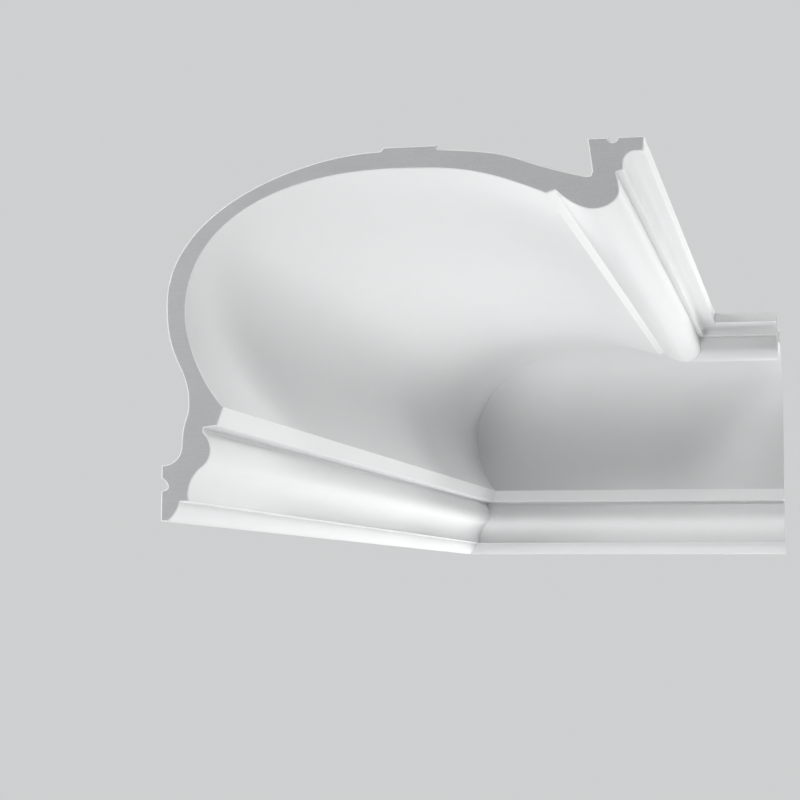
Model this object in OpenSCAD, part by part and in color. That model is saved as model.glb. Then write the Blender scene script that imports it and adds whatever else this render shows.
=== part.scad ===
// Inside corner of a large cove cornice: two lengths of one moulding, cut at 45 degrees and
// glued along the mitre. The side length runs along the wall on the left, the back length
// along the wall behind. Both have one section: a foot and an ogee at the wall, a deep cove, and
// a bead and a small cavetto at the ceiling edge, over a hollow back.
//
// A point of the section is [out, up]: its distance from the wall and its height above the
// moulding's lower edge. The origin is under the middle of the bounding box, on the plane of
// the lower edge, with +Z up, the side wall at -X and the back wall at +Y.

/* [Overall] */
// Reach of the section along the ceiling, from the wall to the outer rim
projection = 330; // [270:1:420]
// Height of the section, from its lower edge to the ceiling
drop = 252; // [205:1:330]
// Ceiling rim of the side length, from the mitre to its square cut
side_run = 850; // [100:5:2000]
// Ceiling rim of the back length, from the mitre to its square cut
back_run = 64; // [20:1:2000]

/* [Foot] */
// Width of the flat sole
foot_sole = 3.9; // [3:0.1:6]
// Reach of the foot at its top
foot_out = 13.2; // [11:0.1:16]
// Height of the foot
foot_h = 13.2; // [11:0.1:16]
// Fullness of the foot's round; 0.55 is a quarter ellipse, and less is flatter
foot_fullness = 0.35; // [0.1:0.01:0.6]
// Tread of the ledge between the foot and the ogee
foot_ledge_w = 7.2; // [4:0.1:10]

/* [Ogee] */
// Undercut of the hollow, behind the ledge's edge
hollow_cut = 1.1; // [0.4:0.1:2]
// Rise from the ledge to the deepest line of the hollow
hollow_rise = 4.8; // [3:0.1:7]
// Rise from the deepest line of the hollow to the crest of the swelling
swell_rise = 30.1; // [25:0.1:36]
// Reach of the swelling beyond the hollow
swell_out = 15.5; // [12:0.1:19]
// Share of the ogee's two radii that the hollow takes
hollow_share = 0.61; // [0.4:0.01:0.7]
// Radius of the swelling above its crest
crest_r = 17.3; // [14:0.1:24]
// Setback of the quirk, behind the crest
quirk_cut = 5.4; // [3:0.1:7]
// Height of the quirk
quirk_h = 2.8; // [1:0.1:5]
// Tread of the soffit over the quirk
soffit_w = 9.9; // [7:0.1:14]
// Rise of the soffit across its tread
soffit_rise = 1.2; // [0:0.1:3]

/* [Cove] */
// Height of the fillet under the cove
fillet_h = 12.8; // [8:0.1:16]
// Forward lean of the fillet
fillet_lean = 4.2; // [0:0.1:6]
// Thickness of the shell at the waist, by the wall
waist_t = 13.8; // [9:0.1:17]
// Rise from the fillet to the waist
waist_rise = 66.5; // [54:0.1:82]
// Rise from the fillet to the point on the waist line that the lower sweep aims at
waist_aim = 30.6; // [20:0.1:40]
// Thickness of the shell at the crown, by the ceiling
crown_t = 12.6; // [9:0.1:16]
// Run from the crown to the cove's outer end
crown_run = 103.6; // [85:0.1:125]
// Run from the crown to the point on the crown line that the outer sweep aims at
crown_aim = 54.4; // [40:0.1:65]
// Fullness of the lower sweep, from the fillet to the waist; 0.55 is a quarter ellipse
lower_fullness = 0.58; // [0.4:0.01:0.9]
// Fullness of the quarter sweep, from the waist to the crown
quarter_fullness = 0.61; // [0.4:0.01:0.75]
// Fullness of the outer sweep, from the crown to the ceiling edge
outer_fullness = 0.85; // [0.4:0.01:0.95]

/* [Ceiling edge] */
// Height of the outer rim
rim_h = 10; // [7:0.1:13]
// Forward lean of the outer rim
rim_lean = 0.6; // [0:0.1:2]
// Setback of the ledge's edge, behind the rim
ledge_in = 13.8; // [11:0.1:18]
// Radius of the cavetto under the rim
cavetto_r = 7.5; // [5:0.1:9]
// Height of the upright fillet under the cavetto
ledge_fillet_h = 4.6; // [2:0.1:7]
// Tread of the ledge
ledge_w = 5; // [3:0.1:8]
// Rise of the ledge across its tread
ledge_rise = 1.4; // [0:0.1:3]
// Reach of the bead beyond the ledge
bead_reach = 2.3; // [1:0.1:4]
// Drop from the ledge to the bead's outermost line
bead_upper_h = 12.3; // [9:0.1:16]
// Drop from the bead's outermost line to its lowest line
bead_lower_h = 12; // [9:0.1:15]
// Run of the bead from its lowest line to its outermost line
bead_outer_w = 17.2; // [13:0.1:21]
// Run of the bead from its lowest line to its inner fillet
bead_inner_w = 25.5; // [20:0.1:31]
// Rise of the bead from its lowest line to its inner fillet
bead_inner_h = 13.8; // [10:0.1:17]
// Run from the bead's lowest line to the point that its inner sweep aims at
bead_aim = 12; // [8:0.1:16]
// Fullness of the bead's inner sweep
bead_inner_fullness = 0.62; // [0.4:0.01:0.8]
// Fullness of the bead's outer sweep
bead_outer_fullness = 0.52; // [0.4:0.01:0.8]
// Tread of the fillet between the bead and the cove
bead_fillet_w = 6.4; // [3:0.1:9]
// Rise of that fillet across its tread
bead_fillet_rise = 1.9; // [0:0.1:4]

/* [Back] */
// Gap between the shell and the wall at the haunch
wall_gap = 1.8; // [1:0.1:4]
// Rise from the waist to the haunch, the line of the back nearest the wall
haunch_rise = 5.4; // [0:0.1:12]
// Fullness of the shell's back at the ceiling pad, where it turns down to the haunch
shoulder_fullness = 0.35; // [0.2:0.01:0.55]
// Fullness of that turn at the haunch
haunch_fullness = 0.67; // [0.4:0.01:0.75]
// Gap between the shell and the ceiling beside the pad
ceiling_gap = 2.7; // [1:0.1:5]
// Distance of the ceiling pad from the outer rim
pad_in = 139.2; // [116:0.1:160]
// Width of the ceiling pad
pad_w = 36.6; // [20:0.1:45]
// Chamfer along the pad's wall side
pad_chamfer = 2.5; // [0.5:0.1:4]
// Width of the ceiling flange behind the rim
flange_w = 37.6; // [30:0.1:44]
// Backward lean of the flange's inner face
flange_lean = 3.1; // [1:0.1:5]
// Depth of the flange's inner face
flange_h = 22.1; // [18:0.1:26]
// Width of the flange's inner toe
toe_w = 4.9; // [3:0.1:7]
// Depth of the flange's inner toe
toe_h = 3; // [2:0.1:5]
// Chamfer of the toe
toe_chamfer = 1.2; // [0.5:0.1:2]
// Run over which the shell's back leaves the toe
toe_run = 58; // [30:0.5:66]
// Slope of the shell's back at the toe
toe_slope = 0.25; // [0.1:0.01:0.35]
// Run over which the shell's back comes to the ceiling pad
pad_run = 63; // [30:0.5:68]
// Slope of the shell's back at the ceiling pad
pad_slope = 0.07; // [0:0.01:0.12]
// Reach of the hollow behind the fillet, from the wall
web_out = 18.5; // [16:0.1:22]
// Height of that hollow's deepest line
web_h = 78.7; // [68:0.1:90]
// Reach of the back above the wall land, from the wall
heel_out = 14; // [11:0.1:16]
// Height of the back's upright stretch above the wall land
heel_h = 52; // [46:0.1:58]
// Height of the wall land's upper edge
land_h = 38.1; // [34:0.1:42]

/* [Glue grooves] */
// Height of the wall groove's lower edge
wall_groove_h = 21; // [16:0.1:24]
// Width of the wall groove
wall_groove_w = 8.4; // [5:0.1:10]
// Depth of the wall groove
wall_groove_t = 4.7; // [2:0.1:6]
// Distance of the ceiling groove's middle from the outer rim
ceiling_groove_in = 20.8; // [16:0.1:26]
// Radius of the ceiling groove
ceiling_groove_r = 3.3; // [2:0.1:5]

/* [Hidden] */
side_length = projection + side_run;
back_length = projection + back_run;
// Fullness of a small turn that has none of its own
soft = 0.6;
// Straight steps in a long curve, and in a short one
many = 20;
few = 6;
// Margin by which a cutting block runs past what it cuts
over = 1;

// A smooth curve from a to b, pulled towards c and then towards d, without its first point.
function bend(a, c, d, b, steps) =
    [for (i = [1 : steps]) let (t = i / steps, s = 1 - t)
        s * s * s * a + 3 * s * s * t * c + 3 * s * t * t * d + t * t * t * b];

// A sweep from a to b that leaves a towards the corner k and reaches b from it. The fullness f
// says how far into the corner it goes, from 0 to 1, and g is the same for its far end, if given.
function sweep(a, k, b, steps, f, g = undef) =
    bend(a, a + f * (k - a), b + (is_undef(g) ? f : g) * (k - b), b, steps);

// A double curve from a to b that is upright at both ends, over the share f of its height at a
// and the share g at b.
function shift(a, b, steps, f, g) =
    bend(a, [a.x, a.y + f * (b.y - a.y)], [b.x, b.y - g * (b.y - a.y)], b, steps);

// A circular arc between two angles, in degrees from +out towards +up, without its first point.
function arc(centre, r, from, to, steps) =
    [for (i = [1 : steps]) let (w = from + (to - from) * i / steps) centre + r * [cos(w), sin(w)]];

// Foot: the flat sole, a round that ends upright, and the ledge over it.
ledge_out = foot_out + foot_ledge_w;
foot = concat(
    [[0, 0], [foot_sole, 0]],
    sweep([foot_sole, 0], [foot_out, 0], [foot_out, foot_h], few, foot_fullness),
    [[ledge_out, foot_h]]);

// Ogee: two arcs that touch, the hollow below and the swelling above, each upright at its end,
// and the quirk over them.
hollow = [ledge_out - hollow_cut, foot_h + hollow_rise];
crest = hollow + [swell_out, swell_rise];
both_r = (swell_out * swell_out + swell_rise * swell_rise) / (2 * swell_out);
hollow_r = hollow_share * both_r;
swell_r = both_r - hollow_r;
ogee_turn = atan2(swell_rise, both_r - swell_out);
crest_turn = acos(1 - quirk_cut / crest_r);
quirk = crest + [-quirk_cut, crest_r * sin(crest_turn)];
ogee = concat(
    sweep([ledge_out, foot_h], [hollow.x, foot_h + hollow_rise / 3], hollow, few, soft),
    arc(hollow + [hollow_r, 0], hollow_r, 180, 180 - ogee_turn, few),
    arc(crest - [swell_r, 0], swell_r, -ogee_turn, 0, few),
    arc(crest - [crest_r, 0], crest_r, 0, crest_turn, few),
    [quirk + [0, quirk_h]]);

// Ceiling edge, found from the rim inwards: the rim, the cavetto, the ledge, the bead and its
// inner fillet.
rim = [projection, drop];
rim_foot = rim - [rim_lean, rim_h];
ledge_edge = [rim.x - ledge_in, rim_foot.y - cavetto_r - ledge_fillet_h];
cavetto_centre = [ledge_edge.x + cavetto_r, rim_foot.y - cavetto_r];
bead_top = ledge_edge - [ledge_w, ledge_rise];
bead_side = bead_top + [bead_reach, -bead_upper_h];
bead_low = bead_side - [bead_outer_w, bead_lower_h];
bead_start = bead_low + [-bead_inner_w, bead_inner_h];
cove_end = bead_start - [bead_fillet_w, bead_fillet_rise];
ceiling_edge = concat(
    [bead_start],
    sweep(bead_start, [bead_low.x - bead_aim, bead_low.y], bead_low, many,
        bead_inner_fullness),
    sweep(bead_low, [bead_side.x, bead_low.y], bead_side, few, bead_outer_fullness),
    sweep(bead_side, [bead_side.x, (bead_side.y + bead_top.y) / 2], bead_top, few, soft),
    [ledge_edge, [ledge_edge.x, cavetto_centre.y]],
    arc(cavetto_centre, cavetto_r, 180, 90, few),
    [rim_foot, rim]);

// Cove: the soffit and the fillet, then a sweep up to the waist, a quarter sweep to the crown,
// and a flat sweep out to the ceiling edge.
soffit_edge = quirk + [soffit_w, quirk_h + soffit_rise];
cove_start = soffit_edge + [fillet_lean, fillet_h];
waist = [wall_gap + waist_t, cove_start.y + waist_rise];
shell_top = drop - ceiling_gap;
crown = [cove_end.x - crown_run, shell_top - crown_t];
cove = concat(
    [soffit_edge, cove_start],
    sweep(cove_start, [waist.x, cove_start.y + waist_aim], waist, many, lower_fullness),
    sweep(waist, [waist.x, crown.y], crown, many, quarter_fullness),
    sweep(crown, crown + [crown_aim, 0], cove_end, many, outer_fullness));

// Back: the flange with its groove and its toe, the shell's ceiling side, the pad, and the
// shell's wall side down to the wall land with its groove.
flange_foot = rim + [flange_lean - flange_w, -flange_h];
toe = flange_foot - [toe_w, toe_h];
pad_edge = rim - [pad_in, 0];
pad_end = pad_edge - [pad_w, 0];
pad_side = [pad_edge.x, shell_top];
pad_foot = [pad_end.x - pad_chamfer, shell_top];
haunch = [wall_gap, waist.y + haunch_rise];
web = [web_out, web_h];
heel = [heel_out, heel_h];
groove_top = wall_groove_h + wall_groove_w;
groove_floor = [wall_groove_t, wall_groove_h + wall_groove_w / 4];
back = concat(
    [rim - [ceiling_groove_in - ceiling_groove_r, 0]],
    arc(rim - [ceiling_groove_in, 0], ceiling_groove_r, 0, -180, 2 * few),
    [rim - [flange_w, 0], flange_foot, [flange_foot.x - toe_chamfer, toe.y], toe],
    bend(toe, toe + toe_run * [-1, toe_slope], pad_side + pad_run * [1, -pad_slope], pad_side, many),
    [pad_edge, pad_end, pad_foot],
    sweep(pad_foot, [haunch.x, shell_top], haunch, many, shoulder_fullness, haunch_fullness),
    shift(haunch, web, many, 0.6, 0.4),
    shift(web, heel, few, 0.3, soft),
    sweep(heel, [heel.x, land_h], [0, land_h], few, soft),
    [[0, groove_top]],
    sweep([0, groove_top], [groove_floor.x, (groove_floor.y + groove_top) / 2], groove_floor, few, soft),
    sweep(groove_floor, [groove_floor.x, wall_groove_h], [0, wall_groove_h], few, soft));

section = concat(foot, ogee, cove, ceiling_edge, back);

// One length, with its wall at x = 0, run from the mitre at y = 0 to its square cut at -length.
// The mitre is the upright plane y = -x.
module mitred_length(length) {
    difference() {
        rotate([90, 0, 0]) linear_extrude(length) polygon(section);
        translate([0, 0, -over]) linear_extrude(drop + 2 * over)
            polygon([[-over, over], [projection + over, over], [projection + over, -projection - over]]);
    }
}

// The room's corner, where both walls meet, as seen from the origin.
module in_corner() {
    translate([-back_length / 2, side_length / 2, 0]) children();
}

// The length on the side wall.
module side_wall_length() {
    color("whitesmoke") in_corner() mitred_length(side_length);
}

// The length on the back wall: the same moulding, mirrored in the mitre.
module back_wall_length() {
    color("white") in_corner() mirror([1, 1, 0]) mitred_length(back_length);
}

side_wall_length();
back_wall_length();
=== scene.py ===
# %% [markdown]
# # A mitred cove cornice
#
# The object is the inside corner of a large cove cornice: two lengths of one moulding, cut at
# 45 degrees and glued along the mitre. The CAD frame already holds both lengths at their real
# size. Here each one is replaced by a finer mesh of the same section, with its arrises eased and
# its cut end finished, and the surfaces get their primer, cast skin and sawn foam.

# %% The frame
import math

import bpy
import numpy as np
from mathutils import Matrix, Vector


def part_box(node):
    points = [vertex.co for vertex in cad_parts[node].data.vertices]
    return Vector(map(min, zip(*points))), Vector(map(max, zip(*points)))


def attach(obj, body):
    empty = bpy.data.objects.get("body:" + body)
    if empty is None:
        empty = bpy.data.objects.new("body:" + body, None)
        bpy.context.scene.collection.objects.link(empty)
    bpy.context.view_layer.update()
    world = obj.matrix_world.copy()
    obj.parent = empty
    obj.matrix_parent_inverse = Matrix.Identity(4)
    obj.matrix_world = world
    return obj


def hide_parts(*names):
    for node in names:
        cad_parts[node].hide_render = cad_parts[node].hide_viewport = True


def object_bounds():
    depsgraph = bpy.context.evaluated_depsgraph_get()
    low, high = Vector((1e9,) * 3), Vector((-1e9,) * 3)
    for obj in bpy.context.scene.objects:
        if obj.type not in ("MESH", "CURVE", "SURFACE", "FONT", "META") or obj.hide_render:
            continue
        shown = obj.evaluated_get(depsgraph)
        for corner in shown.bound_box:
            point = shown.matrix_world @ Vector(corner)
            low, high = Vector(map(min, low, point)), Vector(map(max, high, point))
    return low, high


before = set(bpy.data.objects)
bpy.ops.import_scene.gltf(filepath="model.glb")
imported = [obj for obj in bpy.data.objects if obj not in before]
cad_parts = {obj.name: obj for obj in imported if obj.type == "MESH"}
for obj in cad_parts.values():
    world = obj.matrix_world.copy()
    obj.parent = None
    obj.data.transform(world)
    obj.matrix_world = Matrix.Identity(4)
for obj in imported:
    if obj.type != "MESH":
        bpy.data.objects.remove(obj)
cad_low, cad_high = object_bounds()
side_low, side_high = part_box("side_wall_length")
back_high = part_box("back_wall_length")[1]
print("CAD box", [round(v, 4) for v in cad_high - cad_low], "m")

# %% [markdown]
# ## Sizes
#
# Everything overall comes from the frame: the reach of the section, its drop, and where the two
# walls meet. The smaller sizes of the section are the moulding's own, in millimetres. A point of
# the section is written as a distance out from the wall and a height up from the lower edge.

# %% Overall sizes
MM = 0.001
projection = (side_high.x - side_low.x) / MM
drop = (side_high.z - side_low.z) / MM
wall_x = side_low.x
wall_y = back_high.y
front_y = side_low.y
right_x = back_high.x
print(f"section {projection:.0f} x {drop:.0f} mm, lengths {(wall_y - front_y) / MM:.0f} "
      f"and {(right_x - wall_x) / MM:.0f} mm")

# %% [markdown]
# ## The section
#
# A plaster run or a cast moulding is drawn with straight fillets, arcs and free sweeps, and so
# is this outline. A sweep is a cubic curve between two points that leaves the first towards a
# corner and reaches the second from it, and its fullness says how far into the corner it goes.
# In a square corner a fullness of 0.55 is very nearly a quarter of a circle, which the end of
# the cell measures. Each function gives a whole stretch at once, with both its ends, so a
# stretch can later be cut back where it meets the next one.

# %% Curves of the outline
def line(a, b):
    """A straight stretch: both ends."""
    return np.array([a, b], float)


def bend(a, c, d, b, steps=40):
    """The cubic (1-t)^3 a + 3 (1-t)^2 t c + 3 (1-t) t^2 d + t^3 b, for t from 0 to 1."""
    a, b, c, d = (np.asarray(p, float) for p in (a, b, c, d))
    t = np.linspace(0, 1, steps + 1)[:, None]
    s = 1 - t
    return s**3 * a + 3 * s**2 * t * c + 3 * s * t**2 * d + t**3 * b


def sweep(a, k, b, fullness, far_fullness=None, steps=40):
    """A cubic from a to b whose pulls are a + f (k - a) and b + g (k - b), with k the corner."""
    a, k, b = (np.asarray(p, float) for p in (a, k, b))
    g = fullness if far_fullness is None else far_fullness
    return bend(a, a + fullness * (k - a), b + g * (k - b), b, steps)


def shift(a, b, f, g, steps=40):
    """A cubic from a to b that is upright at both ends, over f and g of its height."""
    rise = b[1] - a[1]
    return bend(a, (a[0], a[1] + f * rise), (b[0], b[1] - g * rise), b, steps)


def arc(centre, radius, start, stop, steps=16):
    """centre + radius (cos w, sin w), for w from start to stop in degrees."""
    w = np.radians(np.linspace(start, stop, steps + 1))[:, None]
    return np.asarray(centre, float) + radius * np.hstack([np.cos(w), np.sin(w)])


quarter_radii = np.hypot(*sweep((1, 0), (1, 1), (0, 1), 0.55).T)
print(f"a quarter sweep keeps a radius of {quarter_radii.min():.3f} to {quarter_radii.max():.3f}")

# %% [markdown]
# The room side is drawn upwards and outwards, in the order in which the eye follows it from the
# wall to the ceiling. At the wall come the foot, a ledge, the ogee, its quirk and the soffit
# under the fillet.
#
# The ogee is a hollow arc and a swelling one. It is upright at both ends, and the two arcs run
# into each other smoothly, so their centres are as far apart as both radii together. Pythagoras
# then gives that sum from the width and the height of the ogee. The crest is an arc of its own,
# which the quirk cuts off under the soffit.

# %% Foot and ogee
foot_sole, foot_out, foot_h, foot_fullness = 3.9, 13.2, 13.2, 0.35
foot_ledge_w = 7.2
hollow_cut, hollow_rise, hollow_share = 1.1, 4.8, 0.61
swell_out, swell_rise = 15.5, 30.1
crest_r, quirk_cut, quirk_h = 17.3, 5.4, 2.8
soffit_w, soffit_rise = 9.9, 1.2
fillet_h, fillet_lean = 12.8, 4.2
SOFT = 0.6

ledge_out = foot_out + foot_ledge_w
hollow = np.array([ledge_out - hollow_cut, foot_h + hollow_rise])
crest = hollow + [swell_out, swell_rise]
both_r = (swell_out**2 + swell_rise**2) / (2 * swell_out)
hollow_r = hollow_share * both_r
swell_r = both_r - hollow_r
ogee_turn = math.degrees(math.atan2(swell_rise, both_r - swell_out))
crest_turn = math.degrees(math.acos(1 - quirk_cut / crest_r))
quirk = crest + [-quirk_cut, crest_r * math.sin(math.radians(crest_turn))]
quirk_top = quirk + [0, quirk_h]
soffit_edge = quirk_top + [soffit_w, soffit_rise]
cove_start = soffit_edge + [fillet_lean, fillet_h]

wall_edge = [
    line((0, 0), (foot_sole, 0)),
    sweep((foot_sole, 0), (foot_out, 0), (foot_out, foot_h), foot_fullness, steps=14),
    line((foot_out, foot_h), (ledge_out, foot_h)),
    sweep((ledge_out, foot_h), (hollow[0], foot_h + hollow_rise / 3), hollow, SOFT, steps=8),
    arc(hollow + [hollow_r, 0], hollow_r, 180, 180 - ogee_turn),
    arc(crest - [swell_r, 0], swell_r, -ogee_turn, 0),
    arc(crest - [crest_r, 0], crest_r, 0, crest_turn),
    line(quirk, quirk_top),
    line(quirk_top, soffit_edge),
    line(soffit_edge, cove_start)]
print("ogee radii", round(hollow_r, 1), round(swell_r, 1), "mm")

# %% [markdown]
# The ceiling edge is found from the rim inwards, because its fillets are all measured from the
# rim. Its large bead hangs below everything else at this edge. The cove then joins the fillet
# at the wall to the bead in three sweeps: up to the waist, round to the crown, and out. Where
# the corner of a sweep isn't a square one, an aim says how far along it lies.

# %% Ceiling edge and cove
rim_h, rim_lean = 10, 0.6
ledge_in, ledge_fillet_h, cavetto_r = 13.8, 4.6, 7.5
ledge_w, ledge_rise = 5, 1.4
bead_reach, bead_upper_h, bead_lower_h = 2.3, 12.3, 12
bead_outer_w, bead_inner_w, bead_inner_h, bead_aim = 17.2, 25.5, 13.8, 12
bead_inner_fullness, bead_outer_fullness = 0.62, 0.52
bead_fillet_w, bead_fillet_rise = 6.4, 1.9
wall_gap, ceiling_gap, waist_t, crown_t = 1.8, 2.7, 13.8, 12.6
waist_rise, waist_aim, crown_run, crown_aim = 66.5, 30.6, 103.6, 54.4
lower_fullness, quarter_fullness, outer_fullness = 0.58, 0.61, 0.85

rim = np.array([projection, drop])
rim_foot = rim - [rim_lean, rim_h]
ledge_edge = np.array([rim[0] - ledge_in, rim_foot[1] - cavetto_r - ledge_fillet_h])
cavetto_centre = np.array([ledge_edge[0] + cavetto_r, rim_foot[1] - cavetto_r])
bead_top = ledge_edge - [ledge_w, ledge_rise]
bead_side = bead_top + [bead_reach, -bead_upper_h]
bead_low = bead_side - [bead_outer_w, bead_lower_h]
bead_start = bead_low + [-bead_inner_w, bead_inner_h]
cove_end = bead_start - [bead_fillet_w, bead_fillet_rise]
shell_top = drop - ceiling_gap
waist = np.array([wall_gap + waist_t, cove_start[1] + waist_rise])
crown = np.array([cove_end[0] - crown_run, shell_top - crown_t])

cove = [
    sweep(cove_start, (waist[0], cove_start[1] + waist_aim), waist, lower_fullness),
    sweep(waist, (waist[0], crown[1]), crown, quarter_fullness, steps=90),
    sweep(crown, crown + [crown_aim, 0], cove_end, outer_fullness, steps=50)]
ceiling_edge = [
    line(cove_end, bead_start),
    sweep(bead_start, (bead_low[0] - bead_aim, bead_low[1]), bead_low, bead_inner_fullness, steps=30),
    sweep(bead_low, (bead_side[0], bead_low[1]), bead_side, bead_outer_fullness, steps=20),
    sweep(bead_side, (bead_side[0], (bead_side[1] + bead_top[1]) / 2), bead_top, SOFT, steps=12),
    line(bead_top, ledge_edge),
    line(ledge_edge, (ledge_edge[0], cavetto_centre[1])),
    arc(cavetto_centre, cavetto_r, 180, 90),
    line(cavetto_centre + [0, cavetto_r], rim_foot),
    line(rim_foot, rim)]
print("bead hangs", round(drop - bead_low[1], 1), "mm under the ceiling")

# %% [markdown]
# The back is never seen once the cornice is up. It is a hollow shell with three places that
# touch the room: the flange behind the rim, a pad at the crown and the land at the wall. The
# flange and the land each have a groove that holds the adhesive. The long curve from the toe of
# the flange to the pad has no corner to go by, so a run and a slope give its pull at each end.

# %% Back
flange_w, flange_h, flange_lean = 37.6, 22.1, 3.1
toe_w, toe_h, toe_chamfer = 4.9, 3, 1.2
toe_run, toe_slope, pad_run, pad_slope = 58, 0.25, 63, 0.07
pad_in, pad_w, pad_chamfer = 139.2, 36.6, 2.5
shoulder_fullness, haunch_fullness, haunch_rise = 0.35, 0.67, 5.4
haunch_pull, web_upper_pull, web_lower_pull = 0.6, 0.4, 0.3
web, heel, land_h = np.array([18.5, 78.7]), np.array([14.0, 52.0]), 38.1
wall_groove_h, wall_groove_w, wall_groove_t = 21, 8.4, 4.7
ceiling_groove_in, ceiling_groove_r = 20.8, 3.3

groove_middle = rim - [ceiling_groove_in, 0]
flange_top = rim - [flange_w, 0]
flange_foot = flange_top + [flange_lean, -flange_h]
toe = flange_foot - [toe_w, toe_h]
toe_corner = np.array([flange_foot[0] - toe_chamfer, toe[1]])
pad_edge = rim - [pad_in, 0]
pad_side = np.array([pad_edge[0], shell_top])
pad_end = pad_edge - [pad_w, 0]
pad_foot = np.array([pad_end[0] - pad_chamfer, shell_top])
haunch = np.array([wall_gap, waist[1] + haunch_rise])
groove_top = wall_groove_h + wall_groove_w
groove_floor = np.array([wall_groove_t, wall_groove_h + wall_groove_w / 4])

back = [
    line(rim, groove_middle + [ceiling_groove_r, 0]),
    arc(groove_middle, ceiling_groove_r, 0, -180),
    line(groove_middle - [ceiling_groove_r, 0], flange_top),
    line(flange_top, flange_foot),
    line(flange_foot, toe_corner),
    line(toe_corner, toe),
    bend(toe, toe + toe_run * np.array([-1, toe_slope]),
         pad_side + pad_run * np.array([1, -pad_slope]), pad_side),
    line(pad_side, pad_edge),
    line(pad_edge, pad_end),
    line(pad_end, pad_foot),
    sweep(pad_foot, (haunch[0], shell_top), haunch, shoulder_fullness, haunch_fullness, steps=80),
    shift(haunch, web, haunch_pull, web_upper_pull),
    shift(web, heel, web_lower_pull, SOFT, steps=16),
    sweep(heel, (heel[0], land_h), (0, land_h), SOFT, steps=12),
    line((0, land_h), (0, groove_top)),
    sweep((0, groove_top), (groove_floor[0], (groove_floor[1] + groove_top) / 2), groove_floor, SOFT,
          steps=10),
    sweep(groove_floor, (groove_floor[0], wall_groove_h), (0, wall_groove_h), SOFT, steps=8),
    line((0, wall_groove_h), (0, 0))]
print(len(wall_edge) + len(cove) + len(ceiling_edge), "stretches face the room,", len(back), "the back")

# %% [markdown]
# ## Easing the arrises
#
# A cast arris is never a knife edge: the mould and then the primer leave it a few tenths of a
# millimetre round, and that round is what catches the light as a thin bright line. A Bevel
# modifier could do it, but it would have to guess which edges to take. It is simpler to do it
# on the outline. Where two stretches meet at an angle, both are cut back by the same short
# distance along their own length, and the gap is closed with a true arc. Each stretch also
# gets a point just inside either end, so that the turn of the arc doesn't shade into the flat
# beside it.

# %% Rounding the outline
ARRIS = 0.35
CORNER_TURN = math.radians(9)
CORNER_STEPS = 4
HOLD = 0.25


def cut_back(points, at_start, at_end):
    """The same stretch, shorter at both ends. Its points stand at the same fractions of the
    length that is left, with one more at HOLD from either end, and np.interp reads each
    coordinate off at those lengths."""
    along = np.concatenate([[0], np.cumsum(np.hypot(*np.diff(points, axis=0).T))])
    rest = along[-1] - at_start - at_end
    t = at_start + np.sort(np.append(rest * along / along[-1], [HOLD, rest - HOLD]))
    return np.stack([np.interp(t, along, points[:, 0]), np.interp(t, along, points[:, 1])], axis=1)


def ease(stretches, radius):
    """Closes the stretches into one loop of points. At a corner q that turns by w, both sides
    are cut back by radius * tan(w / 2), to p and r, and the arc between them is the weighted
    mean of p, q and r with the weights (1-t)^2, 2 (1-t) t cos(w / 2) and t^2."""
    into = np.array([s[-1] - s[-2] for s in stretches])
    out = np.roll(np.array([s[1] - s[0] for s in stretches]), -1, axis=0)
    cosine = np.sum(into * out, axis=1) / (np.hypot(*into.T) * np.hypot(*out.T))
    half = np.arccos(np.clip(cosine, -1, 1)) / 2
    cut = np.where(2 * half > CORNER_TURN, radius * np.tan(half), 0)
    t = np.linspace(0, 1, CORNER_STEPS + 1)[1:-1, None]
    kept = [cut_back(s, cut[i - 1], cut[i]) for i, s in enumerate(stretches)]
    loop = []
    for i, points in enumerate(kept):
        if cut[i] > 0:
            start, corner, end = points[-1], stretches[i][-1], kept[(i + 1) % len(kept)][0]
            a, b, c = (1 - t)**2, 2 * (1 - t) * t * math.cos(half[i]), t**2
            loop += [points, (a * start + b * corner + c * end) / (a + b + c)]
        else:
            loop.append(points[:-1])
    return np.concatenate(loop)


stretches = wall_edge + cove + ceiling_edge + back
outline = ease(stretches, ARRIS)
rim_at = int(np.argmin(np.hypot(*(outline - rim).T)))
print(len(outline), "points; the outline turns to its back at point", rim_at)

# %% [markdown]
# ## Sweeping the section
#
# Each length is the outline carried along its wall. Station by station the outline stays the
# same and only the distance along the wall changes, so the whole surface is one grid: a row for
# each station, a column for each outline point. The last row lies in the mitre, where a point
# that is further out from its own wall stops further from the other one. The first rows finish
# the saw cut: the thickness of the primer shows in the plane of the cut, as a light line round
# the darker foam, and its arris is eased like the others. The line's inner side is the same
# outline with rounder corners, drawn in by a little less than their radius, so that it never
# crosses itself.
#
# Smooth shading takes the mean of the faces that meet at a point, so a flat end face tints the
# whole step of the sweep that touches it. The steps next to the cut and to the mitre are
# therefore very short ones.

# %% Grid of one length
PRIMER = 0.75
FOAM_ARRIS = PRIMER + 0.06
CUT_ARRIS = 0.12
CUT_STEP = 3 * CUT_ARRIS
STATIONS = 30
NEAR_MITRE = 0.9995


def drawn_in(points, by):
    """The loop offset to its inner side by a fixed distance, along the mean of the normals of
    the two edges that meet at each point."""
    edge = np.roll(points, -1, axis=0) - points
    normal = np.stack([-edge[:, 1], edge[:, 0]], axis=1) / np.hypot(*edge.T)[:, None]
    mean = normal + np.roll(normal, 1, axis=0)
    mean /= np.hypot(*mean.T)[:, None]
    return points + by * mean


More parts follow.
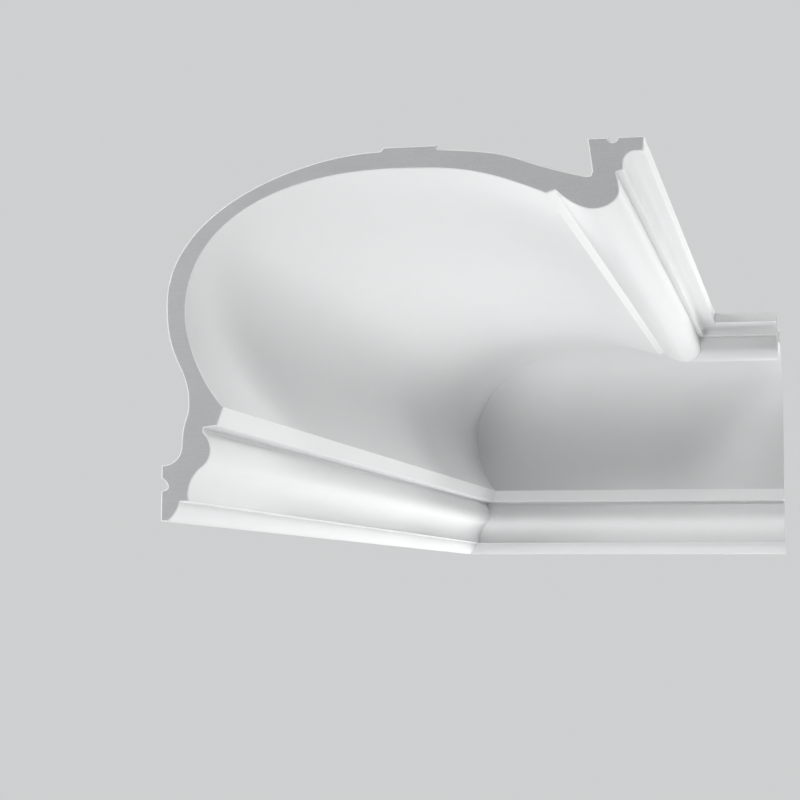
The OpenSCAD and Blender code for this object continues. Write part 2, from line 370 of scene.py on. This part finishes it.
def swept(points, foam, far):
    """Grid of (out, along, up) in millimetres: along is 0 in the room's corner and far at the
    cut. From CUT_STEP behind the cut the stations run evenly to just short of the mitre, and
    the last one lies in it, where along equals out."""
    start = far - CUT_STEP
    t = np.append(np.linspace(0, NEAR_MITRE, STATIONS), 1)[:, None]
    along = np.concatenate([np.full((2, len(points)), far),
                            np.full((1, len(points)), far - CUT_ARRIS),
                            start + (points[:, 0] - start) * t])
    section = np.concatenate([[foam, drawn_in(points, CUT_ARRIS)],
                              np.repeat(points[None], len(along) - 2, axis=0)])
    return np.stack([section[..., 0], along, section[..., 1]], axis=-1)


def grid_faces(rows, columns):
    """Quads of a grid that is closed round its columns: (r, c), (r, c+1), (r+1, c+1), (r+1, c)."""
    r, c = np.meshgrid(np.arange(rows - 1), np.arange(columns), indexing="ij")
    n = (c + 1) % columns
    return np.stack([r * columns + c, r * columns + n, (r + 1) * columns + n, (r + 1) * columns + c],
                    axis=-1).reshape(-1, 4)


foam_edge = drawn_in(ease(stretches, FOAM_ARRIS), PRIMER)
print("the foam's edge lies", PRIMER, "mm inside the outline, with", len(foam_edge), "points")

# %% [markdown]
# The two ends are closed with one many-sided face each. It is flat, so Blender's own
# triangulation fills it cleanly, concave as it is. Smooth shading is on everywhere but at
# those two faces: the eased arrises are fine enough to shade as true rounds.
#
# The two lengths lay the grid into the room as mirror images, so one of the two meshes would
# come out inside out. Its signed volume tells which one: it adds up the pyramids between the
# triangles and the origin, and it is negative where the faces point inwards.

# %% Mesh of one length
FACE, BACK, SAWN = 0, 1, 2


def signed_volume(mesh):
    """Sum over triangles of a . (b x c) / 6: positive where the faces point outwards."""
    mesh.calc_loop_triangles()
    co = np.empty(len(mesh.vertices) * 3, np.float32)
    mesh.vertices.foreach_get("co", co)
    corner = np.empty(len(mesh.loop_triangles) * 3, np.int32)
    mesh.loop_triangles.foreach_get("vertices", corner)
    a, b, c = co.reshape(-1, 3)[corner.reshape(-1, 3)].transpose(1, 0, 2).astype(float)
    return float(np.sum(a * np.cross(b, c)) / 6)


def cornice_length(name, far, place):
    """A closed mesh. place turns the grid (out, along, up) into the frame, in metres."""
    grid = swept(outline, foam_edge, far)
    rows, columns = grid.shape[:2]
    points = place(grid.reshape(-1, 3) * MM)
    quads = grid_faces(rows, columns)
    first, last = np.arange(columns), np.arange(columns) + (rows - 1) * columns
    mesh = bpy.data.meshes.new(name)
    mesh.from_pydata(points.tolist(), [], quads.tolist() + [first[::-1].tolist(), last.tolist()])
    column = np.tile(np.arange(columns), rows - 1)
    kind = np.append(np.where(column < rim_at, FACE, BACK), [SAWN, SAWN])
    mesh.polygons.foreach_set("material_index", kind.astype(np.int32))
    mesh.polygons.foreach_set("use_smooth", kind != SAWN)
    mesh.update()
    volume = signed_volume(mesh)
    if volume < 0:
        mesh.flip_normals()
    piece = bpy.data.objects.new(name, mesh)
    bpy.context.scene.collection.objects.link(piece)
    print(name, len(points), "points,", round(abs(volume) * 1000, 3), "litres")
    return piece


# %% Both lengths
side_length = cornice_length(
    "side_length", (wall_y - front_y) / MM,
    lambda p: np.stack([wall_x + p[:, 0], wall_y - p[:, 1], side_low.z + p[:, 2]], axis=1))
back_length = cornice_length(
    "back_length", (right_x - wall_x) / MM,
    lambda p: np.stack([wall_x + p[:, 1], wall_y - p[:, 0], side_low.z + p[:, 2]], axis=1))
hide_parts("side_wall_length")
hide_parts("back_wall_length")
for piece in (side_length, back_length):
    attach(piece, "root")

# %% [markdown]
# ## Shader maths
#
# A material is easier to read as arithmetic than as a chain of nodes. The first class below
# wraps a socket, so that adding or multiplying two of them adds the Math node that does it. The
# second one holds the nodes of a material, or of the world, and its one method makes any node.

# %% Node helper
class Value:
    """A number that a shader works out: it wraps an output socket."""

    def __init__(self, tree, socket):
        self.tree, self.socket = tree, socket

    def _math(self, operation, a, b):
        return self.tree.make("ShaderNodeMath", {"operation": operation}, {0: a, 1: b})

    def __add__(self, other):
        return self._math("ADD", self, other)

    def __radd__(self, other):
        return self._math("ADD", other, self)

    def __sub__(self, other):
        return self._math("SUBTRACT", self, other)

    def __rsub__(self, other):
        return self._math("SUBTRACT", other, self)

    def __mul__(self, other):
        return self._math("MULTIPLY", self, other)

    def __rmul__(self, other):
        return self._math("MULTIPLY", other, self)


def ramp(color_ramp, stops):
    """Sets a colour ramp's stops from (position, grey) pairs."""
    while len(color_ramp.elements) < len(stops):
        color_ramp.elements.new(1.0)
    for element, (position, grey) in zip(color_ramp.elements, stops):
        element.position = position
        element.color = (grey, grey, grey, 1)


class Tree:
    """The nodes of one owner: a material or a world."""

    def __init__(self, owner):
        self.owner = owner
        owner.use_nodes = True
        self.nodes, self.links = owner.node_tree.nodes, owner.node_tree.links
        self.nodes.clear()

    def make(self, kind, settings=None, inputs=None, output=0):
        """One node: its settings, then the values or links of its sockets, by name or number."""
        node = self.nodes.new(kind)
        for key, value in (settings or {}).items():
            if key == "stops":
                ramp(node.color_ramp, value)
            else:
                setattr(node, key, value)
        for key, value in (inputs or {}).items():
            if isinstance(value, Value):
                self.links.new(value.socket, node.inputs[key])
            else:
                node.inputs[key].default_value = value
        return Value(self, node.outputs[output]) if node.outputs else node


# %% [markdown]
# ## Primed face
#
# The room side is factory-primed: a sprayed, fully matt white. Close up, the spray leaves an
# orange peel of about three millimetres and a fine tooth, and the coat is a shade thinner and
# duller in some places than in others. All of it is faint, because a primed cornice looks
# plain white from the floor.
#
# Every pattern reads Object coordinates, which are metres here, so the scale of a noise is the
# number of its cells in a metre.

# %% Noise, bump and tint
def noise(tree, place, scale, detail):
    """Perlin noise of so many cells a metre, from 0 to 1."""
    return tree.make("ShaderNodeTexNoise", None, {"Vector": place, "Scale": scale, "Detail": detail})


def bump(tree, height, distance, under=None):
    """The normal of a height from 0 to 1 that stands distance metres high, over another bump."""
    inputs = {"Height": height, "Distance": distance}
    if under is not None:
        inputs["Normal"] = under
    return tree.make("ShaderNodeBump", None, inputs)


def tint(tree, amount, low, high):
    """A colour between two, by a number from 0 to 1. A Mix node has sockets for each kind of
    value, and its colours are inputs 6 and 7 and output 2."""
    return tree.make("ShaderNodeMix", {"data_type": "RGBA"},
                     {"Factor": amount, 6: (*low, 1), 7: (*high, 1)}, output=2)


def finish(tree, colour, roughness, normal, **plain):
    """Joins the maps to a Principled surface; plain holds the sockets with one fixed value."""
    inputs = {"Base Color": colour, "Roughness": roughness, "Normal": normal}
    inputs.update({key.replace("_", " "): value for key, value in plain.items()})
    surface = tree.make("ShaderNodeBsdfPrincipled", None, inputs)
    tree.make("ShaderNodeOutputMaterial", None, {"Surface": surface})
    return tree.owner


# %% Face material
def primed_face():
    """Matt white: colour by slow clouds and the coat, height by the orange peel and the tooth."""
    tree = Tree(bpy.data.materials.new("primed_face"))
    place = tree.make("ShaderNodeTexCoord", output="Object")
    cloud = noise(tree, place, 9, 3)
    coat = noise(tree, place, 70, 3)
    peel = noise(tree, place, 290, 2)
    tooth = noise(tree, place, 1900, 2)
    colour = tint(tree, cloud * 0.6 + coat * 0.4, (0.774, 0.78, 0.783), (0.823, 0.83, 0.832))
    roughness = 0.50 + coat * 0.12 + tooth * 0.06
    normal = bump(tree, peel * 0.8 + tooth * 0.2, 0.00013)
    return finish(tree, colour, roughness, normal, Specular_IOR_Level=0.35)


face_finish = primed_face()
print("made", face_finish.name)

# %% [markdown]
# ## Cast back
#
# The back took its skin straight from the mould. It gets the same thin primer, but nobody
# rubbed it down: it is a little rougher and duller, with low swirls from the foam's flow and
# small pinholes where gas bubbles met the skin. The pinholes dip in the bump, and their colour
# is darkened as painted shade inside them.

# %% Back material
def cast_back():
    """Duller white: colour by the flow and the grain, darkened in the pinholes as painted shade;
    height by the flow and the grain, less the pinholes.
    """
    tree = Tree(bpy.data.materials.new("cast_back"))
    place = tree.make("ShaderNodeTexCoord", output="Object")
    flow = tree.make("ShaderNodeTexNoise", None,
                     {"Vector": place, "Scale": 26, "Detail": 4, "Distortion": 1.4})
    grain = noise(tree, place, 900, 3)
    cells = tree.make("ShaderNodeTexVoronoi", {"feature": "F1"}, {"Vector": place, "Scale": 160})
    pinhole_dip_and_shade = tree.make("ShaderNodeValToRGB", {"stops": [(0.05, 1.0), (0.13, 0.0)]}, {"Fac": cells})
    # painted shade: the colour is darkened in each pinhole, as if shade fell inside it
    skin_tone_and_pinhole_shade = flow * 0.7 + grain * 0.3 - pinhole_dip_and_shade * 0.5
    colour = tint(tree, skin_tone_and_pinhole_shade, (0.70, 0.70, 0.69), (0.80, 0.80, 0.79))
    roughness = 0.62 + grain * 0.2
    fine = bump(tree, grain * 0.5 - pinhole_dip_and_shade, 0.00018)
    normal = bump(tree, flow, 0.0006, under=fine)
    return finish(tree, colour, roughness, normal, Specular_IOR_Level=0.3)


back_finish = cast_back()
print("made", back_finish.name)

# %% [markdown]
# ## Sawn foam
#
# At the cut end the saw opens the foam. It is a dense grey foam with cells well under a
# millimetre, some of them open, and the blade leaves faint straight marks across the section.
# The marks are the same noise as the others, only squeezed in one direction and turned. The
# open cells dip in the bump, and their colour is darkened as painted shade inside them.

# %% Cut end material
BLADE_TURN = math.radians(28)


def sawn_foam():
    """Grey: colour by clouds and saw marks, darkened in the open cells as painted shade; height
    by the marks and the cells.
    """
    tree = Tree(bpy.data.materials.new("sawn_foam"))
    place = tree.make("ShaderNodeTexCoord", output="Object")
    cloud = noise(tree, place, 22, 3)
    cells = tree.make("ShaderNodeTexVoronoi", {"feature": "F1"}, {"Vector": place, "Scale": 1100})
    open_cell_dip_and_shade = tree.make("ShaderNodeValToRGB", {"stops": [(0.10, 1.0), (0.32, 0.0)]}, {"Fac": cells})
    blade = tree.make("ShaderNodeMapping", None,
                      {"Vector": place, "Rotation": (0, BLADE_TURN, 0), "Scale": (1.0, 1.0, 40.0)})
    marks = noise(tree, blade, 30, 2)
    # tone from clouds and saw marks, less painted shade in each open cell
    tone_and_cell_shade = cloud * 0.35 + marks * 0.35 + 0.30 - open_cell_dip_and_shade * 0.35
    colour = tint(tree, tone_and_cell_shade, (0.345, 0.35, 0.36), (0.49, 0.495, 0.505))
    roughness = 0.80 + open_cell_dip_and_shade * 0.12
    normal = bump(tree, marks * 0.4 - open_cell_dip_and_shade, 0.00012)
    return finish(tree, colour, roughness, normal, Specular_IOR_Level=0.2)


saw_finish = sawn_foam()
print("made", saw_finish.name)

# %% [markdown]
# A face's material index picks from the list of its mesh, so both lengths get the three
# finishes in the order of FACE, BACK and SAWN.

# %% Finishes onto the lengths
for piece in (side_length, back_length):
    for material in (face_finish, back_finish, saw_finish):
        piece.data.materials.append(material)
    print(piece.name, [material.name for material in piece.data.materials])

# %% [markdown]
# ## Floor and room
#
# A cornice is seen from below, so the floor lies a good way down. To the camera it fades into
# the colour of the room behind it, so that no horizon shows behind the moulding. Even in the
# middle more than half of what shows is that colour, which keeps the pools of light under the
# lamps faint. To the light it stays a plain matt floor, which sends a soft glow back up under
# the cove. The room is a pale grey and not white, so that white edges still stand out from it,
# and it lights the moulding only a little: the lamps do that.

# %% Floor and surroundings
PALE = (0.62, 0.625, 0.63)
AMBIENT = 0.05
FLOOR_Z = cad_low.z - 2.0
FLOOR_RADIUS = 30.0
FLOOR_SIDES = 96
FADE = {"From Min": 0.5, "From Max": 5.0, "To Min": 0.6}


def seen_directly(tree):
    """1 for a ray from the camera, or from a glossy or clear surface, and 0 for any other."""
    from_camera = tree.make("ShaderNodeLightPath", output="Is Camera Ray")
    from_gloss = tree.make("ShaderNodeLightPath", output="Is Glossy Ray")
    through_glass = tree.make("ShaderNodeLightPath", output="Is Transmission Ray")
    return from_camera + from_gloss + through_glass


def floor_finish():
    """A matt floor that fades, by its distance from the middle, into the plain room colour."""
    tree = Tree(bpy.data.materials.new("pale_floor"))
    place = tree.make("ShaderNodeTexCoord", output="Object")
    radius = tree.make("ShaderNodeVectorMath", {"operation": "LENGTH"}, {0: place}, output="Value")
    fade = tree.make("ShaderNodeMapRange", {"interpolation_type": "SMOOTHSTEP"},
                     {"Value": radius, **FADE})
    matt = tree.make("ShaderNodeBsdfDiffuse", None, {"Color": (*PALE, 1)})
    glow = tree.make("ShaderNodeEmission", None, {"Color": (*PALE, 1)})
    both = tree.make("ShaderNodeMixShader", None, {0: fade * seen_directly(tree), 1: matt, 2: glow})
    tree.make("ShaderNodeOutputMaterial", None, {"Surface": both})
    return tree.owner


def studio():
    """A world that shows the room's colour and gives off only AMBIENT white light."""
    tree = Tree(bpy.data.worlds.new("studio"))
    lit = tree.make("ShaderNodeBackground", None, {"Color": (1, 1, 1, 1), "Strength": AMBIENT})
    seen = tree.make("ShaderNodeBackground", None, {"Color": (*PALE, 1)})
    both = tree.make("ShaderNodeMixShader", None, {0: seen_directly(tree), 1: lit, 2: seen})
    tree.make("ShaderNodeOutputWorld", None, {"Surface": both})
    return tree.owner


w = np.linspace(0, 2 * np.pi, FLOOR_SIDES, endpoint=False)
ring = np.stack([FLOOR_RADIUS * np.cos(w), FLOOR_RADIUS * np.sin(w), np.full(len(w), FLOOR_Z)], axis=1)
floor_mesh = bpy.data.meshes.new("floor")
floor_mesh.from_pydata(ring.tolist(), [], [list(range(len(w)))])
floor = bpy.data.objects.new("floor", floor_mesh)
bpy.context.scene.collection.objects.link(floor)
floor.data.materials.append(floor_finish())
bpy.context.scene.world = studio()
print("floor at", round(FLOOR_Z, 3), "m, world", bpy.context.scene.world.name)

# %% [markdown]
# ## Lamps
#
# A matt white form is read from slow changes of shade, so the light comes from broad soft
# boxes, none of which the camera sees. Those in front and on the right light the room side, and
# their different strengths keep one side of each curve darker than the other. The one at the
# wall side and the one overhead light the shell's back. A large one below the part stands in
# for the light that comes back from a pale floor, and a small one lifts the trim near the cut.

# %% Soft boxes
LAMP_DISTANCE = 2.6
middle = np.array([-0.05, 0.10, cad_low.z + 0.12])
# name, azimuth and elevation in degrees, side in metres, watts
RING_OF_LAMPS = [
    ("low_left", -45, -25, 1.4, 7),
    ("left_front", -45, 5, 1.4, 47),
    ("low_rear", 165, -25, 1.4, 27),
    ("right_rear", 150, 5, 1.4, 34.5),
    ("right_key", 105, 20, 0.7, 13),
    ("front_key", 30, 28, 0.7, 17.5),
    ("wall_side", -110, 25, 1.4, 18),
    ("overhead", -60, 75, 1.4, 20)]


def soft_box(name, place, aim, size, watts):
    """A square soft box of so many metres a side that faces a point, unseen by the camera. A
    lamp shines down its own -Z axis, so it is tilted up from there and then turned about Z."""
    data = bpy.data.lights.new(name, "AREA")
    data.size, data.energy = size, watts
    light = bpy.data.objects.new(name, data)
    bpy.context.scene.collection.objects.link(light)
    from_to = np.array(aim, float) - np.array(place, float)
    x, y, z = from_to / np.linalg.norm(from_to)
    light.location = place
    light.rotation_euler = (math.pi / 2 + math.asin(z), 0, math.atan2(-x, y))
    light.visible_camera = False
    return light


def around(azimuth, elevation):
    """The point at LAMP_DISTANCE from middle; azimuth 0 is in front and 90 on the right."""
    a, e = math.radians(azimuth), math.radians(elevation)
    level = LAMP_DISTANCE * math.cos(e)
    return middle + [math.sin(a) * level, -math.cos(a) * level, LAMP_DISTANCE * math.sin(e)]


for name, azimuth, elevation, size, watts in RING_OF_LAMPS:
    soft_box(name, around(azimuth, elevation), middle, size, watts)
soft_box("floor_glow", (0, 0, cad_low.z - 1.25), (0, 0, cad_low.z), 1.6, 13)
soft_box("near_fill", (0.25, front_y - 0.51, cad_low.z - 0.3),
         (-0.10, front_y + 0.09, cad_low.z + 0.15), 0.45, 0.5)

# %% [markdown]
# ## Camera
#
# The camera stands in front, a little lower than the moulding's lower edge, and looks slightly
# up past the cut end into the corner, as one does in a room. Its place is measured from the
# room's corner at the lower edge. The lens is long, so that the section is hardly distorted.

# %% Camera
LENS, SENSOR = 89.07, 36
STAND = (0.44255, -2.46489, -0.04682)
YAW, PITCH, ROLL = math.radians(12.138), math.radians(5.517), math.radians(0.2025)

camera_data = bpy.data.cameras.new("camera")
camera_data.lens = LENS
camera_data.sensor_width = SENSOR
camera = bpy.data.objects.new("camera", camera_data)
bpy.context.scene.collection.objects.link(camera)
turn = (Matrix.Rotation(YAW, 3, "Z") @ Matrix.Rotation(math.pi / 2 + PITCH, 3, "X")
        @ Matrix.Rotation(ROLL, 3, "Z"))
camera.rotation_euler = turn.to_euler()
camera.location = (wall_x + STAND[0], wall_y + STAND[1], cad_low.z + STAND[2])
bpy.context.scene.camera = camera
bpy.context.scene.view_settings.view_transform = "Standard"
print("camera at", [round(v, 3) for v in camera.location])
